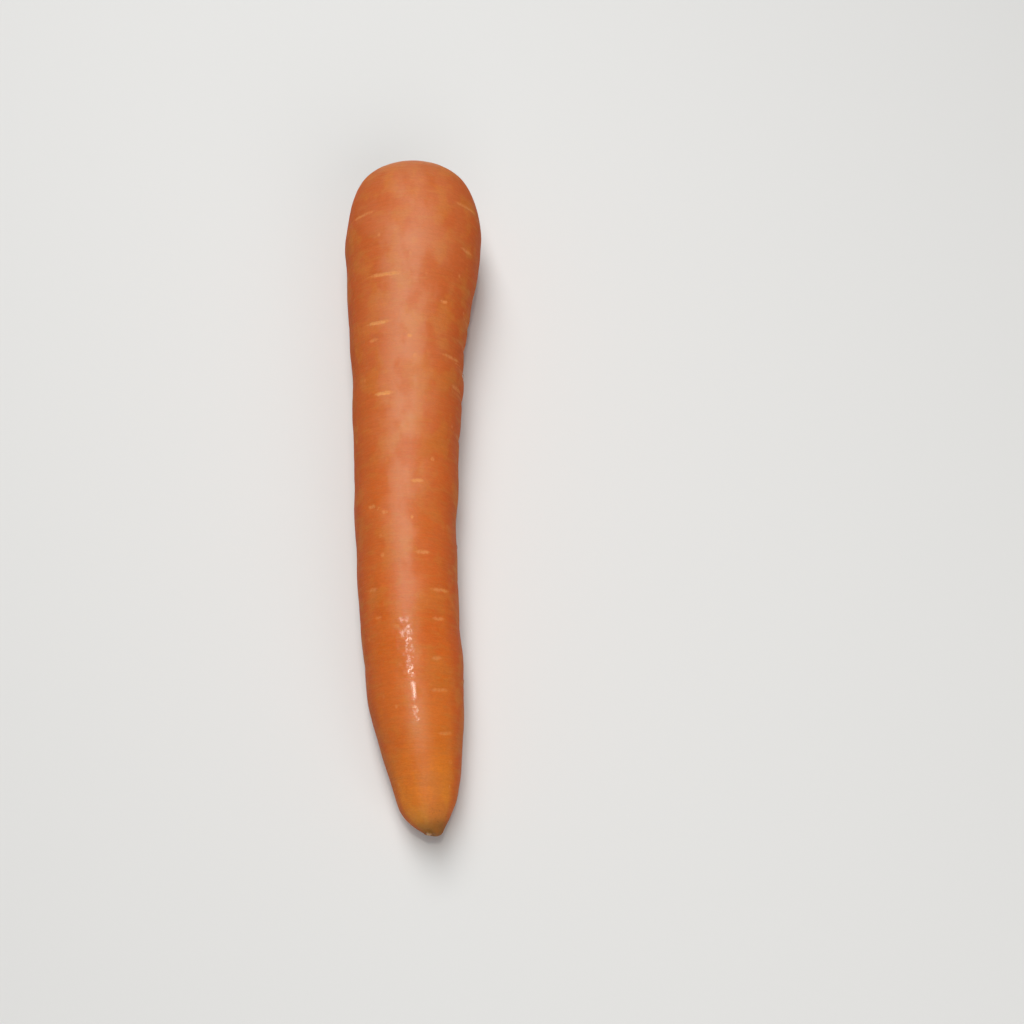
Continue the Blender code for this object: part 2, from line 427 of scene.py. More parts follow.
# %% [markdown]
# ## The wet patch
#
# Near the lower end a film of water still lies on the skin. Water shows by its glints and
# not by its shape, so it isn't a piece of its own: the film is a clear coat in the skin's
# finish, and here the net gets the film's ripples, which break the glint into specks. The
# middle stays calm, so that the glint there is one unbroken line.

# %% Ripples in the film of water
# Each as (first station, last station, middle bearing, half its turn in degrees).
RIPPLED = (0.1420, 0.1600, -8, 15)
CALM = (0.1600, 0.1660, 1, 5)
DRYING = (0.1660, 0.1745, 1, 8)
FILM_EDGE = 0.0012
RIPPLES = ((170, 66, 0.000100, 70), (300, 110, 0.000025, 71))
CALM_SMOOTHING = 0.8
DRYING_RIPPLES = 0.5


def patch_of_film(first, last, middle, half_turn):
    """1 inside the patch, 0 outside it, with soft borders."""
    inside = smooth_step(station, first, first + FILM_EDGE)
    inside = inside * smooth_step(-station, -last, FILM_EDGE - last)
    aside = np.abs(np.degrees(turn_from(middle)))
    return inside * smooth_step(-aside, -half_turn, -0.4 * half_turn)


rippled, calm, drying = patch_of_film(*RIPPLED), patch_of_film(*CALM), patch_of_film(*DRYING)
ripples = noise_layers(RIPPLES) * (rippled + DRYING_RIPPLES * drying)
relief = relief * (1 - CALM_SMOOTHING * calm) + ripples
print("the film covers", int((rippled + calm + drying > 0.5).sum()), "points of the net")

# %% [markdown]
# ## The crown
#
# The leaves were cut off in the crown's dimple. What is left are their bases, crescents
# that wrap round the middle, each one golden angle on from the last, because that is how a
# rosette grows. They could be separate stubs, but on a real root they are one tissue with
# it, so they are raised from the skin. Their tops are torn, and strings of the leaf stalk
# stand in them at even steps. Where a top and a string are is kept for the colour.

# %% Raise the cut leaf bases
LEAF_BASES = 11
LEAF_BASE_REACH = (0.0006, 0.0070)
LEAF_BASE_HEIGHTS = (0.0009, 0.0019)
LEAF_BASE_HALF_THICKNESS = 0.00058
LEAF_BASE_HALF_SPAN = 46
LEAF_BASE_EDGE = 4
LEAF_BASE_SEED = 5
GOLDEN_ANGLE = 137.508
TORN_HEIGHT = 0.00045
TORN = ((300, 24, 0.45, 83), (560, 50, 0.45, 81), (760, 95, 0.35, 82))
DROOP = 0.35              # how much lower a leaf base is at its two ends
STRING_STEP = 0.00095     # from one string of the leaf stalk to the next
STRING_ROW = 0.55         # the half width of their row, in half thicknesses of the leaf base


def leaf_bases():
    """Each leaf base as (distance from the crown's middle, bearing, height), as in the solid."""
    draw = random.Random(LEAF_BASE_SEED)
    inner, outer = LEAF_BASE_REACH
    bases = []
    for i in range(LEAF_BASES):
        reach = inner + (outer - inner) * math.sqrt(i / (LEAF_BASES - 1))
        bases.append((reach, GOLDEN_ANGLE * i, draw.uniform(*LEAF_BASE_HEIGHTS)))
    return bases


leaf_height = np.zeros((len(station), SIDES))
leaf_top = np.zeros((len(station), SIDES))
strings = np.zeros((len(station), SIDES))
in_crown = station < RELIEF_START
for reach, middle, stub in leaf_bases():
    across = (radius - reach) / LEAF_BASE_HALF_THICKNESS
    along = turn_from(middle) / math.radians(LEAF_BASE_HALF_SPAN)
    top = np.where(in_crown, np.exp(-(across**LEAF_BASE_EDGE) - along**LEAF_BASE_EDGE), 0)
    beat = 0.5 + 0.5 * np.cos(2 * math.pi * turn_from(middle) * reach / STRING_STEP)
    row = np.exp(-((across / STRING_ROW) ** 2))
    strings = np.where(top > leaf_top, beat * row * top, strings)
    leaf_top = np.maximum(leaf_top, top)
    leaf_height = np.maximum(leaf_height, top * stub * (1 - DROOP * np.clip(along**2, 0, 1)))
leaf_share = leaf_height / LEAF_BASE_HEIGHTS[1]
leaf_height = leaf_height + TORN_HEIGHT * noise_layers(TORN) * smooth_step(leaf_share, 0.05, 0.5)
print("the leaf bases stand up to", round(1000 * float(leaf_height.max()), 2), "mm high")

# %% [markdown]
# ## Lay the root down
#
# Until now the root is straight. Each ring is now set on the real axis, which bows to one
# side and leans from the thick shoulder down to the thinner belly. A curve modifier could
# bend a straight mesh, but it would hide where the surface ends up. Here every point is
# worked out, and where the skin would go through the table, it is pressed flat on it, as
# the solid is cut there.

# %% From the straight root to the lying one
REST_DEPTH = 0.00035
ORIGIN_STATION = 0.1001
# The sideways bow, as (station, offset towards +X).
BOW = (
    (0.000, -0.0004),
    (0.025, 0.0000),
    (0.043, -0.0008),
    (0.080, -0.0007),
    (0.114, -0.0003),
    (0.137, 0.0011),
    (0.162, 0.0034),
    (0.182, 0.0059),
    (0.193, 0.0074),
    (ROOT_LENGTH, 0.0094),
)
BOW_STEP = 0.001
# How many lobes the section has, their share of the radius, their bearing and their turn.
LOBES = ((2, 0.010, 25, 120), (3, 0.007, 70, -90), (5, 0.004, 10, 60))

bow = smooth_curve(BOW)


def axis_height(place):
    """How high the axis runs over the table: it leans from the shoulder to the belly."""
    shoulder = SHOULDER_RADIUS - REST_DEPTH
    belly = BELLY_RADIUS - REST_DEPTH
    share = (place - SHOULDER_STATION) / (BELLY_STATION - SHOULDER_STATION)
    return shoulder + (belly - shoulder) * share


def laid_down(place, across, up):
    """Points of the straight root, set on the bowed and leaning axis."""
    offset = np.interp(place, bow[:, 0], bow[:, 1])
    slope = (np.interp(place + BOW_STEP, bow[:, 0], bow[:, 1]) - offset) / BOW_STEP
    lean = (axis_height(place + BOW_STEP) - axis_height(place)) / BOW_STEP
    forward = across * slope + up * lean
    return np.stack([offset + across, ORIGIN_STATION - place + forward, axis_height(place) + up], -1)


def section_scale(place, angle):
    """What the lobes make of the radius at an angle."""
    share = 1.0
    for count, height, start, turn in LOBES:
        middle = np.radians(start + turn * place / ROOT_LENGTH)
        share = share + height * np.cos(count * (angle - middle))
    return share


out = radius * section_scale(station, bearing) + relief
points = laid_down(station - leaf_height, out * np.sin(bearing), out * np.cos(bearing))
print("the lying root's box, in mm:", np.round(1000 * np.ptp(points.reshape(-1, 3), axis=0), 1))

# %% [markdown]
# ## The scar of the end root
#
# A carrot ends in a thin root that breaks off when it is lifted. Its scar is a pale nub in
# a little ditch, beside the middle of the tip. It could be a ball that is stuck on, but a
# nub that is raised from the skin has no seam. A noise makes its edge uneven.

# %% Raise the scar of the end root
END_SCAR = (0.1997, -46, 0.0019)      # station, bearing and distance from the axis
NUB_RADIUS = 0.0008
NUB_HEIGHT = 0.00035
NUB_SLOPE = (1.15, 0.55)              # where the nub begins and where it is full, in its radii
DITCH = (1.5, 0.4)                    # the ditch's distance and half width, in the nub's radii
DITCH_SHARE = 0.5
END_UNEVEN = ((700, 14, 0.35, 95),)
LOOK_BACK = 0.004                     # how far up the axis the way outwards is taken from

scar_station, scar_turn, scar_radius = END_SCAR
end_scar = laid_down(
    np.array(scar_station),
    scar_radius * math.sin(math.radians(scar_turn)),
    scar_radius * math.cos(math.radians(scar_turn)),
)
from_end_scar = np.linalg.norm(points - end_scar, axis=-1) * (1 + noise_layers(END_UNEVEN))
end_nub = smooth_step(-from_end_scar, -NUB_SLOPE[0] * NUB_RADIUS, -NUB_SLOPE[1] * NUB_RADIUS)
from_ditch = (from_end_scar - DITCH[0] * NUB_RADIUS) / (DITCH[1] * NUB_RADIUS)
end_height = NUB_HEIGHT * (end_nub - DITCH_SHARE * np.exp(-(from_ditch**2)))
end_out = points - laid_down(station - LOOK_BACK, 0 * out, 0 * out)
end_out = end_out / np.linalg.norm(end_out, axis=-1, keepdims=True)
points = points + end_out * end_height[..., None]
points[..., 2] = np.maximum(points[..., 2], 0)
crown_middle = laid_down(np.array(DIMPLE_DEPTH - LEAF_BASE_HEIGHTS[0]), 0.0, 0.0)
tip_middle = laid_down(np.array(ROOT_LENGTH), 0.0, 0.0)
print("the skin's box, in mm:", np.round(1000 * np.ptp(points.reshape(-1, 3), axis=0), 1))

# %% [markdown]
# ## The skin as a mesh
#
# The net becomes a mesh of quads, closed by a fan of triangles at the crown's middle and
# at the tip. It also gets a flat map, for anyone who bakes its colours to a picture: the
# root unrolled like a label, with its one seam underneath.

# %% Make the mesh of the skin
BAKE_MAP = "OFBake"


def skin_faces(rings):
    """The fan at the crown, the quads between the rings, and the fan at the tip."""
    last = rings * SIDES
    faces = [(last, i, (i + 1) % SIDES) for i in range(SIDES)]
    for ring in range(rings - 1):
        here, there = ring * SIDES, (ring + 1) * SIDES
        for i in range(SIDES):
            after = (i + 1) % SIDES
            faces.append((here + i, there + i, there + after, here + after))
    bottom = (rings - 1) * SIDES
    faces += [(last + 1, bottom + (i + 1) % SIDES, bottom + i) for i in range(SIDES)]
    return faces


def unrolled(mesh, rings):
    """The flat map: bearing to the right, the way along the outline upwards."""
    down = np.concatenate([np.repeat(along_share[:, 0], SIDES), [0, 1]])
    round_share = np.concatenate([np.tile(np.arange(SIDES) / SIDES, rings), [0, 0]])
    flat = mesh.uv_layers.new(name=BAKE_MAP)
    corners = np.zeros(len(mesh.loops), int)
    mesh.loops.foreach_get("vertex_index", corners)
    places_on_map = np.stack([round_share[corners], 1 - down[corners]], axis=1)
    starts = np.array([face.loop_start for face in mesh.polygons])
    totals = np.array([face.loop_total for face in mesh.polygons])
    for start, total in zip(starts, totals):
        row = places_on_map[start : start + total, 0]
        if row.max() - row.min() > 0.5:
            row[row < 0.5] += 1
        if total == 3:
            row[0] = (row[1] + row[2]) / 2
    flat.data.foreach_set("uv", places_on_map.ravel())


rings = len(station)
corner_points = np.concatenate([points.reshape(-1, 3), [crown_middle], [tip_middle]])
skin_mesh = bpy.data.meshes.new("carrot_skin")
skin_mesh.from_pydata(corner_points.tolist(), [], skin_faces(rings))
unrolled(skin_mesh, rings)
skin_mesh.shade_smooth()
skin = bpy.data.objects.new("carrot_skin", skin_mesh)
bpy.context.scene.collection.objects.link(skin)
print("the skin has", sum(len(face.vertices) - 2 for face in skin_mesh.polygons), "triangles")

# %% [markdown]
# ## What each point of the skin knows
#
# The finish needs to know where on the root it is. Pictures could say so, but a picture
# has a seam and a size. Values stored on the points have neither: how far along the root
# a point is, how near the top side and how much pale bloom and painted highlight lie there,
# how deep in the crown, on which leaf base or string, how near the brown end, how wet, and
# where in its scar.

# %% Find the nearest scar of each point
SCAR_REACH = 0.0017
CREASE_PALENESS = 0.24


def nearest_scar():
    """For each point, its place along the nearest scar, its distance across it in mm, and
    the scar's paleness, which is 0 out of reach of any scar."""
    best = np.full((rings, SIDES), np.inf)
    place = np.zeros((rings, SIDES, 3))
    creases = [(*wrinkle, CREASE_PALENESS) for wrinkle in FLANK_WRINKLES]
    for scar in (*large_scars, *dot_scars, *creases):
        across, along = across_and_along(scar)
        beyond = np.maximum(np.abs(along) - 1, 0) * scar[2]
        away = np.hypot(across, beyond)
        nearer = away < best
        best = np.where(nearer, away, best)
        paleness = np.where(away < SCAR_REACH, scar[3], 0)
        place[nearer] = np.stack([along, 1000 * across, paleness], -1)[nearer]
    return place


scar_place = nearest_scar()
print(int((scar_place[..., 2] > 0).sum()), "points are in reach of a scar")

# %% Store the values on the skin
# The pale band along the top is partly dry bloom and partly a painted highlight of the light above.
BLOOM_AND_HIGHLIGHT_MIDDLE = 1
BLOOM_AND_HIGHLIGHT_STATIONS = (0.004, 0.030, 0.080, 0.125, 0.150)
BLOOM_AND_HIGHLIGHT_HALF_TURNS = (30, 30, 28, 19, 14)
BLOOM_AND_HIGHLIGHT_STRENGTHS = (0.25, 0.85, 0.90, 0.72, 0.50)
BLOOM_AND_HIGHLIGHT_END = (0.170, 0.197)
UPPER_SIDE = (-2, 42)         # the bearing of its middle and its half turn
CROWN_EDGE = ((240, 30, 0.0008, 90), (400, 90, 0.0003, 91))
CROWN_SHADE = (1.22, 0.80)    # where the crown's shade begins and is full, in radii of its rim
DRYING_SHINE = 0.35
END_SHADE = (0.1955, 0.2002)


def store(name, values, kind="FLOAT", field="value"):
    """Stores one value, or one vector, on each point of the skin. The two end points take
    those of a point of their own ring."""
    width = 3 if kind == "FLOAT_VECTOR" else 1
    flat = np.broadcast_to(values, (rings, SIDES, 3) if width == 3 else (rings, SIDES))
    flat = flat.reshape(-1, width)
    flat = np.concatenate([flat, flat[:1], flat[-1:]]).astype(np.float32)
    skin_mesh.attributes.new(name, kind, "POINT").data.foreach_set(field, flat.ravel())


ragged_radius = radius + noise_layers(CROWN_EDGE)
crown_shade = smooth_step(-ragged_radius, -RIM_RADIUS * CROWN_SHADE[0], -RIM_RADIUS * CROWN_SHADE[1])
bloom_and_highlight_width = np.radians(np.interp(station, BLOOM_AND_HIGHLIGHT_STATIONS, BLOOM_AND_HIGHLIGHT_HALF_TURNS))
bloom = np.exp(-((turn_from(BLOOM_AND_HIGHLIGHT_MIDDLE) / bloom_and_highlight_width) ** 2))
bloom = bloom * np.interp(station, BLOOM_AND_HIGHLIGHT_STATIONS, BLOOM_AND_HIGHLIGHT_STRENGTHS)
upper_middle, upper_turn = UPPER_SIDE
store("along", station / ROOT_LENGTH)
store("upper_side", np.exp(-((turn_from(upper_middle) / math.radians(upper_turn)) ** 2)))
store("bloom", bloom * smooth_step(-station, -BLOOM_AND_HIGHLIGHT_END[1], -BLOOM_AND_HIGHLIGHT_END[0]))
store("crown", crown_shade * in_crown)
store("leaf_base", leaf_share)
store("leaf_top", leaf_top)
store("strings", strings)
store("calm_film", calm)
store("rippled_film", np.maximum(rippled, DRYING_SHINE * drying))
store("end_scar", end_nub)
store("end_shade", smooth_step(station, *END_SHADE))
store("scar_place", scar_place, "FLOAT_VECTOR", "vector")
print("stored:", ", ".join(sorted(a.name for a in skin_mesh.attributes if not a.name.startswith("."))))

# %% [markdown]
# ## Does the skin lie on the solid?
#
# The skin stands for the solid, so it has to lie where the solid is. The distance from its
# points to the solid's faces says so in numbers. A fraction of a millimetre is the fine
# relief and the corners that the coarser solid cuts.

# %% Measure the gap to the solid
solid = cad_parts["carrot"]
solid_tree = BVHTree.FromPolygons(
    [point.co for point in solid.data.vertices], [face.vertices for face in solid.data.polygons]
)
GAP_SAMPLE = 37
gaps = [solid_tree.find_nearest(Vector(point))[3] for point in corner_points[::GAP_SAMPLE]]
middle_gap, widest_gap = 1000 * float(np.median(gaps)), 1000 * max(gaps)
print("gap to the solid: middle", round(middle_gap, 3), "mm, widest", round(widest_gap, 2), "mm")

# %% [markdown]
# ## Helpers for the finishes
#
# A finish in Blender is a tree of nodes. Written out in full each node takes three lines,
# so one helper adds a node, sets it and links it. The finishes below then read like
# recipes.


# %% Helpers that add nodes and work with numbers
def add_node(tree, kind, inputs=None, **settings):
    """Adds a node. An input is a value, or the socket that feeds it."""
    made = tree.nodes.new(kind)
    for name, value in settings.items():
        setattr(made, name, value)
    for name, value in (inputs or {}).items():
        if isinstance(value, bpy.types.NodeSocket):
            tree.links.new(value, made.inputs[name])
        else:
            made.inputs[name].default_value = value
    return made


def maths(tree, operation, *values):
    made = add_node(tree, "ShaderNodeMath", dict(enumerate(values)), operation=operation)
    return made.outputs[0]


def scaled(tree, value, times, plus=0.0):
    """value * times + plus."""
    return maths(tree, "MULTIPLY_ADD", value, times, plus)


def ramp(tree, value, low, high):
    """0 at low, 1 at high, with an easy slope."""
    inputs = {"Value": value, "From Min": low, "From Max": high}
    made = add_node(tree, "ShaderNodeMapRange", inputs, interpolation_type="SMOOTHSTEP")
    return made.outputs["Result"]


print("helpers for numbers are ready")


# %% Helpers that blend colours and read stored values
def blend(tree, share, first, second):
    """Mixes two colours by a share from 0 to 1."""
    made = add_node(tree, "ShaderNodeMix", data_type="RGBA")
    for index, value in ((0, share), (6, first), (7, second)):
        if isinstance(value, bpy.types.NodeSocket):
            tree.links.new(value, made.inputs[index])
        else:
            made.inputs[index].default_value = value
    return made.outputs[2]


def tinted(tree, colour, mask, share, tint):
    """Lets a share of a tint show in a colour where the mask is."""
    return blend(tree, scaled(tree, mask, share), colour, tint)


def stored(tree, name, output="Fac"):
    return add_node(tree, "ShaderNodeAttribute", attribute_name=name).outputs[output]


print("helpers for colours are ready")


# %% Helpers that make and place a group
def new_group(name, inputs, outputs):
    """A node group with named sockets. Inputs come as (name, value)."""
    group = bpy.data.node_groups.new(name, "ShaderNodeTree")
    for label, value in inputs:
        socket = group.interface.new_socket(name=label, in_out="INPUT", socket_type="NodeSocketFloat")
        socket.default_value = value
    for label in outputs:
        group.interface.new_socket(name=label, in_out="OUTPUT", socket_type="NodeSocketFloat")
    return group, group.nodes.new("NodeGroupInput"), group.nodes.new("NodeGroupOutput")


def use_group(tree, group, **inputs):
    """Places a group in a finish with values of its own. Spaces in names are underscores here."""
    placed = tree.nodes.new("ShaderNodeGroup")
    placed.node_tree = group
    for name, value in inputs.items():
        placed.inputs[name.replace("_", " ")].default_value = value
    return placed.outputs[0]


print("helpers for groups are ready")

# %% [markdown]
# ## Patches, lines and soil
#
# Three things come back in every surface of a root: patches of another shade, fine lines
# across or along it, and traces of soil. Patches and lines are one effect, noise that is
# squeezed along the root until its lumps are lines, so one group makes both. The second
# group makes soil: small specks that gather where a wider noise lets them.


# %% Two groups that every surface shares
SPECK_EDGE = (0.34, 0.12)                       # in cells of the specks
SPECK_GATHERING = {"Scale": 160, "Detail": 2}   # the wider noise that gathers them
GATHERED_FROM = (0.50, 0.62)


def patches_group():
    group, given, result = new_group(
        "patches", [("Scale", 100), ("Squeeze", 1), ("Offset", 0), ("Low", 0.4), ("High", 0.6)], ["Mask"]
    )
    where = add_node(group, "ShaderNodeTexCoord").outputs["Object"]
    squeeze = add_node(group, "ShaderNodeCombineXYZ", {"X": 1, "Y": given.outputs["Squeeze"], "Z": 1})
    factors = {0: where, 1: squeeze.outputs[0]}
    placed = add_node(group, "ShaderNodeVectorMath", factors, operation="MULTIPLY")
    inputs = {"Vector": placed.outputs[0], "W": given.outputs["Offset"], "Scale": given.outputs["Scale"]}
    noise = add_node(group, "ShaderNodeTexNoise", {**inputs, "Detail": 3}, noise_dimensions="4D")
    mask = ramp(group, noise.outputs["Fac"], given.outputs["Low"], given.outputs["High"])
    group.links.new(mask, result.inputs["Mask"])
    return group


def soil_group():
    group, given, result = new_group("soil", [("Scale", 900), ("Amount", 0.5)], ["Mask"])
    where = add_node(group, "ShaderNodeTexCoord").outputs["Object"]
    inputs = {"Vector": where, "Scale": given.outputs["Scale"]}
    specks = add_node(group, "ShaderNodeTexVoronoi", inputs)
    near = ramp(group, specks.outputs["Distance"], *SPECK_EDGE)
    wider = add_node(group, "ShaderNodeTexNoise", {"Vector": where, **SPECK_GATHERING})
    gathered = ramp(group, wider.outputs["Fac"], *GATHERED_FROM)
    mask = maths(group, "MULTIPLY", maths(group, "MULTIPLY", near, gathered), given.outputs["Amount"])
    group.links.new(mask, result.inputs["Mask"])
    return group


def patched(tree, scale, squeeze, offset, low, high):
    """The patches group in a finish, with its five values in their order."""
    return use_group(tree, patches, Scale=scale, Squeeze=squeeze, Offset=offset, Low=low, High=high)


patches = patches_group()
soil = soil_group()
print("groups:", ", ".join(group.name for group in (patches, soil)))

# %% [markdown]
# ## The shades along the root
#
# A carrot isn't one orange. Its shoulder is duller, the root below it fuller, and its tip
# an olive tan. A Color Ramp holds these shades in their order, and the stored way along
# the root picks one. A noise shifts that value a little, so that no shade ends in a ring.

# %% The shades along the root
SHADES_ALONG = (
    (0.000, (0.490, 0.108, 0.017, 1)),
    (0.060, (0.550, 0.100, 0.012, 1)),
    (0.350, (0.575, 0.106, 0.010, 1)),
    (0.700, (0.615, 0.114, 0.006, 1)),
    (0.880, (0.640, 0.145, 0.006, 1)),
    (0.955, (0.690, 0.215, 0.012, 1)),
    (0.980, (0.600, 0.220, 0.024, 1)),
    (0.992, (0.420, 0.185, 0.028, 1)),
)
SHADE_WANDER = (70, 0.6, 3.1, 0.25, 0.75)
WANDER_MOST = 0.05      # how far the shades may wander along the root
WANDER_ROOM = 0.6       # and which part of the way that is left to the tip


def shades_along(tree):
    """The shade along the root, with its borders blurred by a noise."""
    noise = maths(tree, "SUBTRACT", patched(tree, *SHADE_WANDER), 0.5)
    along = stored(tree, "along")
    room = scaled(tree, along, -WANDER_ROOM, WANDER_ROOM)
    share = scaled(tree, noise, maths(tree, "MINIMUM", WANDER_MOST, room), along)
    made = add_node(tree, "ShaderNodeValToRGB", {"Fac": share})
    stops = made.color_ramp.elements
    while len(stops) < len(SHADES_ALONG):
        stops.new(1)
    for stop, (place, colour) in zip(stops, SHADES_ALONG):
        stop.position = place
        stop.color = colour
    return made.outputs["Color"]


print(len(SHADES_ALONG), "shades from the crown to the tip")

# %% [markdown]
# ## The dashes of the lenticels
#
# A lenticel is a dash of pale cork with ragged edges, soft ends and a fine slit, which is
# darkened here as painted shade in its groove. Each point knows its place in the nearest
# scar, and the finish draws the dash from that. So the dash is as sharp as the picture wants
# it, however coarse the net is. Two noises make its edges wander and its cork patchy.

# %% The dash and the slit of each lenticel
DASH_WANDER = (900, 0.8, 8.0, 0.2, 0.8)
DASH_WANDER_MOST = 0.36        # mm
DASH_ENDS = (1.45, 0.50)       # where along a scar its dash is gone, and where it is whole
DASH_HALF_WIDTHS = (0.16, 0.68)     # mm, at its ends and in its middle
DASH_EDGE = (1.25, 0.0)        # the same across it, in half widths
SLIT_EDGE = (0.13, 0.03)       # mm
BROKEN_CORK = (1400, 0.7, 3.6, 0.30, 0.55)
BROKEN_LEAST = 0.45
CORK_MOST = 0.85
END_WANDER = 0.9               # how much of the wander the ends of a dash have


def scar_masks(tree):
    """The corky dash of each lenticel, and the fine slit in it, which is darkened as painted shade."""
    place = add_node(tree, "ShaderNodeSeparateXYZ", {0: stored(tree, "scar_place", "Vector")})
    along, across, paleness = place.outputs
    ends, middle = DASH_HALF_WIDTHS
    shift = scaled(tree, patched(tree, *DASH_WANDER), DASH_WANDER_MOST, -0.5 * DASH_WANDER_MOST)
    off_line = maths(tree, "ABSOLUTE", maths(tree, "ADD", across, shift))
    past_end = scaled(tree, shift, END_WANDER, maths(tree, "ABSOLUTE", along))
    in_length = ramp(tree, past_end, *DASH_ENDS)
    from_middle = maths(tree, "DIVIDE", off_line, scaled(tree, in_length, middle - ends, ends))
    whole = scaled(tree, patched(tree, *BROKEN_CORK), 1 - BROKEN_LEAST, BROKEN_LEAST)
    dash = maths(tree, "MULTIPLY", ramp(tree, from_middle, *DASH_EDGE), in_length)
    dash = maths(tree, "MULTIPLY", scaled(tree, dash, CORK_MOST), whole)
    slit = maths(tree, "MULTIPLY", ramp(tree, off_line, *SLIT_EDGE), in_length)
    return maths(tree, "MULTIPLY", dash, paleness), maths(tree, "MULTIPLY", slit, paleness)


print("a dash is up to", 2 * DASH_HALF_WIDTHS[1], "mm wide")

# %% [markdown]
# ## The colour of the body
#
# On the shades along the root lie the others. The flanks are darkened as painted shade.
# Redder and yellower patches, fine cross lines, rubbed spots and a grain make the mottling;
# the cross lines are darkened as painted shade in their grooves. Last come the pale band of
# the top side, partly dry bloom and partly a painted highlight, and the corky lenticels,
# whose slits are darkened as painted shade. Each of these is a mask, a share and a tint, so
# a table lists them and a loop lays one over the other. Their order counts: what is laid on
# last hides what is under it.

# %% The colour of the body
REDDER = (0.560, 0.088, 0.008, 1)
YELLOWER = (0.590, 0.165, 0.016, 1)
# The next tint is pale: partly dry bloom and partly a painted highlight.
BLOOM_AND_HIGHLIGHT = (0.745, 0.415, 0.240, 1)
CORK = (0.800, 0.365, 0.120, 1)
RUBBED = (0.540, 0.160, 0.018, 1)
# The next tint darkens slits and cross lines as painted shade, and is the skin's own dark grain.
CREASE_SHADE_AND_GRAIN = (0.300, 0.065, 0.012, 1)
# The flanks are darkened towards the next tint, by the next edge and share, as painted shade.
FLANK_SHADE = (0.560, 0.078, 0.002, 1)
FLANK_SHADE_EDGE = (0.32, 0.05)
FLANK_SHADE_SHARE = 0.80
print("the palest tint is", BLOOM_AND_HIGHLIGHT[:3], "and the deepest", CREASE_SHADE_AND_GRAIN[:3])

# %% How the patches and lines are laid on
# The skin's patches and lines, with the five values of their group.
MARKS = {
    "redder": (115, 0.6, 0.4, 0.48, 0.60),
    "yellower": (150, 0.8, 6.3, 0.50, 0.62),
    "cross lines": (130, 9, 1.7, 0.35, 0.70),
    "rubbed": (170, 4, 8.8, 0.52, 0.66),
    "fine lines": (420, 6, 5.2, 0.30, 0.75),
    "grain": (1500, 1.6, 4.4, 0.35, 0.65),
    "bloom": (130, 0.6, 2.2, 0.38, 0.58),
}
# How much of each shows, and in which tint, from the first to the last.
TINTS = (
    ("redder", 0.28, REDDER),
    ("yellower", 0.52, YELLOWER),
    # Cross lines: painted shade in their grooves. The grain further on is the skin's own fleck.
    ("cross lines", 0.13, CREASE_SHADE_AND_GRAIN),
    ("rubbed", 0.38, RUBBED),
    ("fine lines", 0.08, CORK),
    ("grain", 0.15, CREASE_SHADE_AND_GRAIN),
)
BLOOM_AND_HIGHLIGHT_SHARE = 0.30
BLOOM_AND_HIGHLIGHT_LEAST = 0.02
BLOOM_AND_HIGHLIGHT_UNEVEN = (0.7, 0.55)      # how much its patches count, and what is there without them
BLOOM_AND_HIGHLIGHT_ON_TOP = 0.04
# How dark the slit is painted, as shade in its groove.
SLIT_SHARE = 0.15


# The pale band of the top side: partly dry bloom, partly a painted highlight.
def bloom_and_highlight_mask(tree, bloom_and_highlight_patches):
    place = scaled(tree, stored(tree, "bloom"), BLOOM_AND_HIGHLIGHT_SHARE, BLOOM_AND_HIGHLIGHT_LEAST)
    mask = maths(tree, "MULTIPLY", scaled(tree, bloom_and_highlight_patches, *BLOOM_AND_HIGHLIGHT_UNEVEN), place)
    return scaled(tree, stored(tree, "upper_side"), BLOOM_AND_HIGHLIGHT_ON_TOP, mask)


def body_colour(tree, marks, cork, slit):
    colour = shades_along(tree)
    # Painted shade: the flanks, away from the top side, are darkened.
    flank_shade = ramp(tree, stored(tree, "upper_side"), *FLANK_SHADE_EDGE)
    colour = tinted(tree, colour, flank_shade, FLANK_SHADE_SHARE, FLANK_SHADE)
    for mark, share, tint in TINTS:
        colour = tinted(tree, colour, marks[mark], share, tint)
    colour = blend(tree, bloom_and_highlight_mask(tree, marks["bloom"]), colour, BLOOM_AND_HIGHLIGHT)
    colour = blend(tree, cork, colour, CORK)
    return tinted(tree, colour, slit, SLIT_SHARE, CREASE_SHADE_AND_GRAIN)


print("the mottling has", len(TINTS), "layers")

# %% [markdown]
# ## The colours of the crown
#
# Sun and air turn the crown brown and green. The cut leaf bases are dry and tan on top,
# greener in patches, with redder strings, and darker down their sides. The grooves between
# them are darker still. The stored heights and tops of the leaf bases say which is which.

# %% The colours of the crown
CROWN_BROWN = (0.270, 0.105, 0.030, 1)
CROWN_GREEN = (0.290, 0.190, 0.045, 1)
LEAF_TAN = (0.450, 0.300, 0.120, 1)
LEAF_DRY = (0.150, 0.078, 0.030, 1)
LEAF_SIDE = (0.200, 0.145, 0.045, 1)
LEAF_GREEN = (0.330, 0.290, 0.090, 1)
LEAF_STRING = (0.300, 0.130, 0.035, 1)
SOIL = (0.075, 0.040, 0.020, 1)
CROWN_GREENS = (260, 1, 9.5, 0.40, 0.62)
LEAF_GREENS = (260, 1, 2.9, 0.40, 0.68)
DRY_FLECKS = (2100, 0.2, 6.6, 0.42, 0.62)
CROWN_SHARE, LEAF_GREEN_SHARE, STRING_SHARE, FLECK_SHARE = 0.80, 0.5, 0.75, 0.50
STRING_EDGE = (0.50, 0.85)
LEAF_EDGE = (0.05, 0.30)        # where a leaf base begins in the stored tops
LEAF_TOP_EDGE = (0.40, 0.80)    # and where its top does
GROOVE_EDGE = (0.30, 0.02)      # in the stored heights
GROOVE_DARKENING = (0.5, 0.30)       # how much the flecks count, and what is there without them


